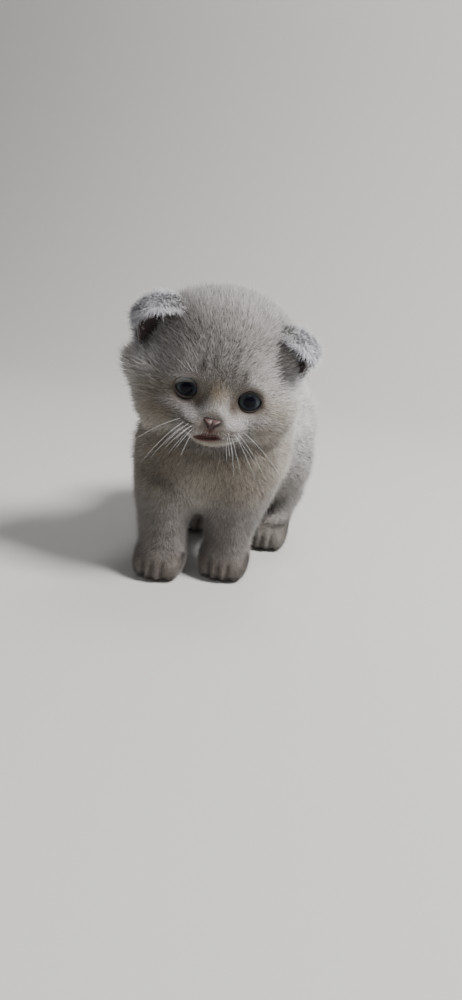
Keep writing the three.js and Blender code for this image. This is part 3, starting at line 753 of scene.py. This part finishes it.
# The ears
# Each ear is a thin cup of gristle that rises from the side of the crown and folds forward and down over
# itself. It is bare and brownish pink inside and furred outside.
ear_shapes = {
    "right": (
        [(-20.5, 15, 28), (-26, 26, 16), (-35, 17, 5)],
        [(-21.5, 14, 29.3), (-31.4, 15, 29.8), (-39.0, 12.5, 20.8)],
        [(-22, 11, 28.0), (-30.5, 6.5, 26.9), (-37.8, 8.5, 21.2)],
    ),
    "left": (
        [(19, 15, 27.5), (22.5, 26, 16.5), (30, 17, 5)],
        [(20, 14, 28.7), (28, 15.5, 27.8), (34.6, 13.2, 21.4)],
        [(20.5, 11, 27.2), (27.6, 7, 24.6), (33.9, 10, 19.6)],
    ),
}


def through(three, t):
    """A smooth line through three places, at t from 0 to 1."""
    a, b, c = (np.array(p, float) for p in three)
    return a * (1 - t) * (1 - 2 * t) + b * 4 * t * (1 - t) + c * t * (2 * t - 1)


def ear_place(shape, across, along):
    """A place on the sheet of an ear: across it from inner to outer side, along it from root to rim."""
    root, crest, rim_line = (through(curve, across) for curve in shape)
    return through([root, crest, rim_line], along)


EAR_SUNK, LINING_IN, EAR_WALL = 0.9, 0.5, 0.45
HEAD_MIDDLE = [0, 26, 11]
ear_skin = speckled("ear_skin", 0.6, 260, (0.045, 0.038, 0.036), (0.13, 0.10, 0.094))
ear_sheets = {}
for name, shape in ear_shapes.items():
    sheet = bmesh.new()
    bmesh.ops.create_grid(sheet, x_segments=24, y_segments=28, size=0.5)
    for v in sheet.verts:
        v.co = Vector(from_head(ear_place(shape, v.co.x + 0.5, v.co.y + 0.5) - np.array([0, 0, EAR_SUNK])))
    sheet.normal_update()
    middle = Vector(from_head(HEAD_MIDDLE))
    if sum(1 if f.normal.dot(f.calc_center_median() - middle) > 0 else -1 for f in sheet.faces) < 0:
        bmesh.ops.reverse_faces(sheet, faces=sheet.faces[:])
    ear_sheets[name] = bpy.data.meshes.new("ear_sheet_" + name)
    sheet.to_mesh(ear_sheets[name])
    for v in sheet.verts:
        v.co -= v.normal * LINING_IN * mm
    lining = cast(sheet, "ear_lining_" + name)
    for piece_name, mesh, material, slot_name in (
        ("ear_flap_", ear_sheets[name], hide.materials[0], "pale_coat"),
        ("ear_lining_", lining, ear_skin, "skin"),
    ):
        piece = shown(piece_name + name, mesh, material)
        wall = piece.modifiers.new("thickness", "SOLIDIFY")
        wall.thickness = EAR_WALL * mm
        wall.offset = -1
        painted(mesh, "coat_colour", [*(LILAC * 0.85), 1.0] * len(mesh.vertices))
        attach(piece, "root")
        if material is not ear_skin:
            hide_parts("ear_" + name)

# The coat
# Dense soft plush: short down under longer fine hairs that lie from the nose back over the head, down the
# chest and legs and back along the body. Each is a thin solid blade, rooted just under the hide.
chance = np.random.default_rng(5)
ROOTED, PATCH = 0.3, 0.001
BENT_IN_A_PIECE, STRAIGHT_IN_A_PIECE = 19500, 48000


def scattered(mesh, fields, density):
    """Even random places on a mesh: the fields there, and where each lies on the layout."""
    mesh.calc_loop_triangles()
    count = len(mesh.loop_triangles)
    corner = np.empty(3 * count, int)
    mesh.loop_triangles.foreach_get("vertices", corner)
    loops = np.empty(3 * count, int)
    mesh.loop_triangles.foreach_get("loops", loops)
    corner, loops = corner.reshape(-1, 3), loops.reshape(-1, 3)
    layout = np.zeros(2 * len(mesh.loops))
    mesh.uv_layers[0].data.foreach_get("uv", layout)
    layout = layout.reshape(-1, 2)
    where = fields[0]
    a, b, c = where[corner[:, 0]], where[corner[:, 1]], where[corner[:, 2]]
    area = 0.5 * np.linalg.norm(np.cross(b - a, c - a), axis=1) / mm**2
    share = np.cumsum(area * density[corner].mean(1))
    total = int(share[-1])
    picked = np.searchsorted(share, (np.arange(total) + chance.random(total)) * share[-1] / total)
    picked = np.minimum(picked, count - 1)
    r, s = np.sqrt(chance.random(total)), chance.random(total)
    weights = np.stack([1 - r, r * (1 - s), r * s], 1)
    found = [(f[corner[picked]] * weights[:, :, None]).sum(1) for f in fields]
    return found, (layout[loops[picked]] * weights[:, :, None]).sum(1)


def coat_piece(
    name, material, root, normal, way, length, lift, width, colour, layout, bent,
    curl=0.3, mixed=0.15, raised=0.0, depth=1.0,
):
    """One joined mesh of tufts, with their colours and their patches on the layout."""
    n = len(root)
    normal = unit(normal)
    flat = way - (way * normal).sum(1, keepdims=True) * normal
    sway = np.stack([waves(root / mm, 7, 20 + k) for k in range(3)], 1)
    drift = np.stack([waves(root / mm, 26, 30 + k) for k in range(3)], 1)
    flat = unit(flat) + curl * (0.8 * sway + 0.5 * drift + 0.8 * chance.normal(size=(n, 3)))
    flat = unit(flat - (flat * normal).sum(1, keepdims=True) * normal)
    lift = np.radians(lift * np.clip(chance.normal(1, 0.25, n), 0.4, 1.7))[:, None]
    size = (length * np.clip(chance.normal(1, 0.2, n), 0.5, 1.7))[:, None] * mm
    wide = (width * chance.uniform(0.7, 1.3, n))[:, None] * mm / 2
    first = normal * np.sin(lift * 1.3) + flat * np.cos(lift * 1.3)
    second = normal * np.sin(lift * 0.7) + flat * np.cos(lift * 0.7)
    side = unit(np.cross(first, normal) + 1e-9)
    thin = np.cross(first, side)
    base = root - normal * ROOTED * mm
    middle = base + first * size * 0.5
    tip = middle + second * size * 0.5
    rows = [(base, 1.0), (middle, 0.75)] if bent else [(base, 1.0)]
    count = 3 * len(rows) + 1
    verts, facing = np.empty((n, count, 3)), np.empty((n, count, 3))
    for row, (centre, share) in enumerate(rows):
        for k, angle in enumerate((math.pi / 2, math.pi * 7 / 6, math.pi * 11 / 6)):
            across = side * math.cos(angle) + thin * math.sin(angle)
            verts[:, 3 * row + k] = centre + (across - thin * math.sin(angle) * 0.45) * wide * share
            facing[:, 3 * row + k] = unit(normal + 0.4 * across + [0, 0, raised])
    verts[:, -1] = tip
    facing[:, -1] = unit(normal + 0.3 * first + [0, 0, raised])
    if bent:
        corners = [0, 1, 4, 3, 1, 2, 5, 4, 2, 0, 3, 5, 3, 4, 6, 4, 5, 6, 5, 3, 6, 0, 2, 1]
        sizes = [4, 4, 4, 3, 3, 3, 3]
    else:
        corners = [0, 1, 3, 1, 2, 3, 2, 0, 3, 0, 2, 1]
        sizes = [3, 3, 3, 3]
    corners = np.array(corners)
    loops = (count * np.arange(n)[:, None] + corners[None]).ravel()
    verts[:, :, 2] = np.maximum(verts[:, :, 2], 0.02 * mm)
    mesh = bpy.data.meshes.new(name)
    mesh.vertices.add(count * n)
    mesh.vertices.foreach_set("co", verts.ravel())
    mesh.loops.add(len(loops))
    mesh.loops.foreach_set("vertex_index", loops)
    mesh.polygons.add(len(sizes) * n)
    starts = np.cumsum(np.tile(sizes, n)) - np.tile(sizes, n)
    mesh.polygons.foreach_set("loop_start", starts)
    mesh.polygons.foreach_set("use_smooth", [True] * (len(sizes) * n))
    mesh.update(calc_edges=True)
    mesh.normals_split_custom_set_from_vertices(facing.reshape(-1, 3))
    shade = np.ones((n, count, 4))
    vary = (1 + mixed * chance.normal(size=n) + 0.05 * sway[:, 0])[:, None, None]
    # Each tuft is darker and warmer at the root: partly the undercoat's colour, partly painted shade deep in
    # the coat; a depth below 1 evens it out.
    tones = [(0.48, 0.44, 0.40)] * 3 + [(0.90, 0.88, 0.86)] * 3 + [(1.20, 1.21, 1.24)]
    tones = tones if bent else [(0.46, 0.42, 0.38)] * 3 + [(0.98, 0.965, 0.95)]
    shade[:, :, :3] = np.clip(colour[:, None] * np.array(tones)[None] ** depth * vary, 0, 1)
    painted(mesh, "coat_colour", shade)
    outer = np.array([(0, 1.5), (-1.3, -0.75), (1.3, -0.75)]) * PATCH
    patch = np.concatenate([outer, outer * 0.6, [(0, 0)]] if bent else [outer, [(0, 0)]])
    mesh.uv_layers.new(name="OFBake").data.foreach_set("uv", (layout[:, None] + patch[corners][None]).ravel())
    mesh.materials.append(material)
    made = bpy.data.objects.new(name, mesh)
    bpy.context.scene.collection.objects.link(made)
    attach(made, "root")


fur = plush("plush_fur", 0.75, 0)
face = in_head(points)
bald = np.zeros(len(points), bool)
for side in (-1, 1):
    brow_low = np.where((face[:, 2] > 0) & (side < 0), 1.3, 1.0)
    bald |= (np.hypot((face[:, 0] - side * EYE_OUT) / 1.1, face[:, 2] * brow_low) < 5.2) & (face[:, 1] < 8)
bald |= np.linalg.norm((face - NOSE_AT - [0, 0, -0.5]) / [5.3, 5, 2.2], axis=1) < 1.0
bald |= (open_face * np.maximum(in_mouth, 0.6 * groove)) > 0.3
bald |= (points[:, 2] < 1.2 * mm) & (normals[:, 2] < -0.5)
amount = np.where(bald, 0, 1) * 1.0
groups = {
    "head": ("head",),
    "chest": ("neck", "chest"),
    "trunk": ("belly", "rump", "tail"),
    "forelegs": ("foreleg", "forepaw"),
    "hind_legs": ("hind_leg", "hind_paw"),
}
for layer, column in (("down", 3), ("coat", 4)):
    fields = [points, normals, lie, coat, region[:, None].astype(float), toes[:, None]]
    denser = np.where(on_head[:, 0] > 0.5, 1, 2.3) if layer == "coat" else 1
    (root, normal, way, rows, where, gap), layout = scattered(hide, fields, amount * coat[:, column] * denser)
    bodies = np.array(flesh_nodes)[np.round(where[:, 0]).astype(int)].astype(str)
    # The tufts in the grooves between the toes are darker, as painted shade.
    colours = coat_colour(root + way * rows[:, 1:2] * 0.4 * mm) * (1 - 0.5 * gap)
    lot = np.zeros(len(root), int)
    for index, names in enumerate(groups.values()):
        for part in names:
            lot[np.char.startswith(bodies, part)] = index
    for index, group in enumerate(groups):
        chosen = np.flatnonzero(lot == index)
        chosen = chosen[np.argsort(root[chosen, 2], kind="stable")]
        bent = layer == "coat" and group == "head"
        parts = math.ceil(len(chosen) / (BENT_IN_A_PIECE if bent else STRAIGHT_IN_A_PIECE))
        for k, some in enumerate(np.array_split(chosen, parts)):
            r = rows[some]
            share = (0.62, 1.45) if layer == "down" else (1.0, 0.85 if bent else 0.62)
            coat_piece(
                f"{layer}_{group}" + (f"_{k + 1}" if parts > 1 else ""), fur,
                root[some], normal[some], way[some], r[:, 1] * share[0], r[:, 2], r[:, 5] * share[1],
                colours[some], layout[some], bent,
            )

# The fur of the ears
# Soft pale down and longer hairs over the outside of each flap, which stand out as a fringe along its lower
# edge and along the outer margin of the cup.
# The blue tint of this pale is painted cool light at the ears' rims.
PALE_EAR_COOL_LIT = PALE * [0.9, 0.91, 0.98]
for name, sheet in ear_sheets.items():
    shape = ear_shapes[name]
    for kind, spread_out, rim_count, margin_count in (("down", 8000, 800, 1000), ("hair", 3300, 800, 800)):
        total = spread_out + rim_count + margin_count
        across, along = chance.random(total), chance.random(total)
        at_rim = np.arange(total) >= spread_out
        at_margin = np.arange(total) >= spread_out + rim_count
        along = np.where(at_rim & ~at_margin, 1 - 0.05 * along, along)
        across = np.where(at_margin, 1 - 0.08 * across, across)
        spots = np.stack([across, along], 1)
        place = np.array([ear_place(shape, a, b) for a, b in spots]) - [0, 0, EAR_SUNK]
        du = np.array([ear_place(shape, a + 0.01, b) - ear_place(shape, a - 0.01, b) for a, b in spots])
        dv = np.array([ear_place(shape, a, b + 0.01) - ear_place(shape, a, b - 0.01) for a, b in spots])
        du, dv = unit(du), unit(dv)
        normal = unit(np.cross(du, dv))
        normal *= np.sign((normal * (place - HEAD_MIDDLE)).sum(1, keepdims=True).mean())
        normal = np.where(at_margin[:, None], unit(0.6 * du + [0, -0.9, 0] + 0.3 * normal), normal)
        way = dv + 0.5 * (across[:, None] - 0.4) * du
        way = np.where(at_margin[:, None], du + 0.4 * dv, way)
        # The ear fur is paler towards the rim and darker on its inner side: partly the ears' own pale fur,
        # partly painted light where the crest and rim catch the light.
        light = (0.46 + 0.12 * along + 0.08 * at_rim) * (0.2 + 0.8 * ramp(across, 0, 0.45))
        tone = toned(LILAC * 0.92, PALE_EAR_COOL_LIT, light)
        lengths = 3.3 + 0.9 * at_rim - 1.4 * at_margin + 1.2 * chance.random(total)
        lifts = np.where(at_rim, 30, 34 if kind == "down" else 46)
        coat_piece(
            f"ear_{kind}_" + name, fur, from_head(place), normal @ head_axes.T,
            way @ head_axes.T, lengths * (0.6 if kind == "down" else 1), lifts,
            np.full(total, 0.42 if kind == "down" else 0.27), tone, 0.02 + 0.04 * spots,
            kind == "hair", curl=0.6, mixed=0.1, raised=0.4, depth=0.45,
        )

# The whiskers
# Stiff white hairs, set in rows in the pads beside the nose, that reach out and droop, with a few finer ones
# over the eyes.
whisker_hair = speckled("whisker_hair", 0.4, 150, (0.56, 0.555, 0.55), (0.76, 0.755, 0.75))
whiskers = []
for side in (-1, 1):
    for row in range(3):
        for k in range(4 - row):
            x, z = side * (6.8 + 1.75 * k), -11.0 - 1.75 * row
            start = on_face(x, z, -0.4)
            fan = 0.25 + 0.16 * k + 0.1 * chance.normal()
            way = np.array([side * fan, -0.75 + 0.13 * k, -0.28 - 0.16 * row + 0.06 * chance.normal()])
            way = head_axes @ unit(way)
            long = (13 + 3.2 * k - 1.5 * row) * chance.uniform(0.85, 1.15)
            droop = 0.012 * chance.uniform(0.7, 1.3)
            rings = []
            for t in np.linspace(0, 1, 12):
                reach = t * long
                bendy = np.array([0, 0.15, -1]) * droop * reach * reach
                rings.append((start + (way * reach + bendy) * mm, 0.042 * (1 - t) ** 0.6 + 0.012))
            whiskers.append(rings)
    for k in range(3):
        start = on_face(side * (9.5 + 1.8 * k), 6.8 + 0.3 * k, -0.4)
        way = head_axes @ unit(np.array([side * (0.25 + 0.2 * k), -0.5, 0.75 - 0.1 * k]))
        long = 7 + 1.5 * k
        rings = []
        for t in np.linspace(0, 1, 10):
            reach = t * long
            bendy = np.array([side * 0.3, 0.5, 0.1]) * 0.02 * reach * reach
            rings.append((start + (way * reach + bendy) * mm, 0.03 * (1 - t) ** 0.6 + 0.012))
        whiskers.append(rings)
joined_tubes("whiskers", whiskers, 5, whisker_hair)

# The claws
# Tiny curved points of pale horn that just show in the fur at the end of each toe, as a kitten of this age
# can't yet draw them right in.
horn = speckled("claw_horn", 0.35, 500, (0.26, 0.22, 0.19), (0.38, 0.33, 0.29))
claws = []
for middle, tip in feet.values():
    for k in (-1.5, -0.5, 0.5, 1.5):
        behind_tip = 3.1 + (2.2 if abs(k) > 1 else 0)
        start = np.array([middle + k * TOE_WIDE * mm, tip + behind_tip * mm, 3.2 * mm])
        rings = []
        for t in np.linspace(0, 1, 7):
            reach = np.array([0, -math.sin(t * 1.1) * 2.2, -(1 - math.cos(t * 1.1)) * 2.6]) * mm
            rings.append((start + reach, 0.34 * (1 - t) ** 0.7 + 0.03))
        claws.append(rings)
joined_tubes("claws", claws, 6, horn)
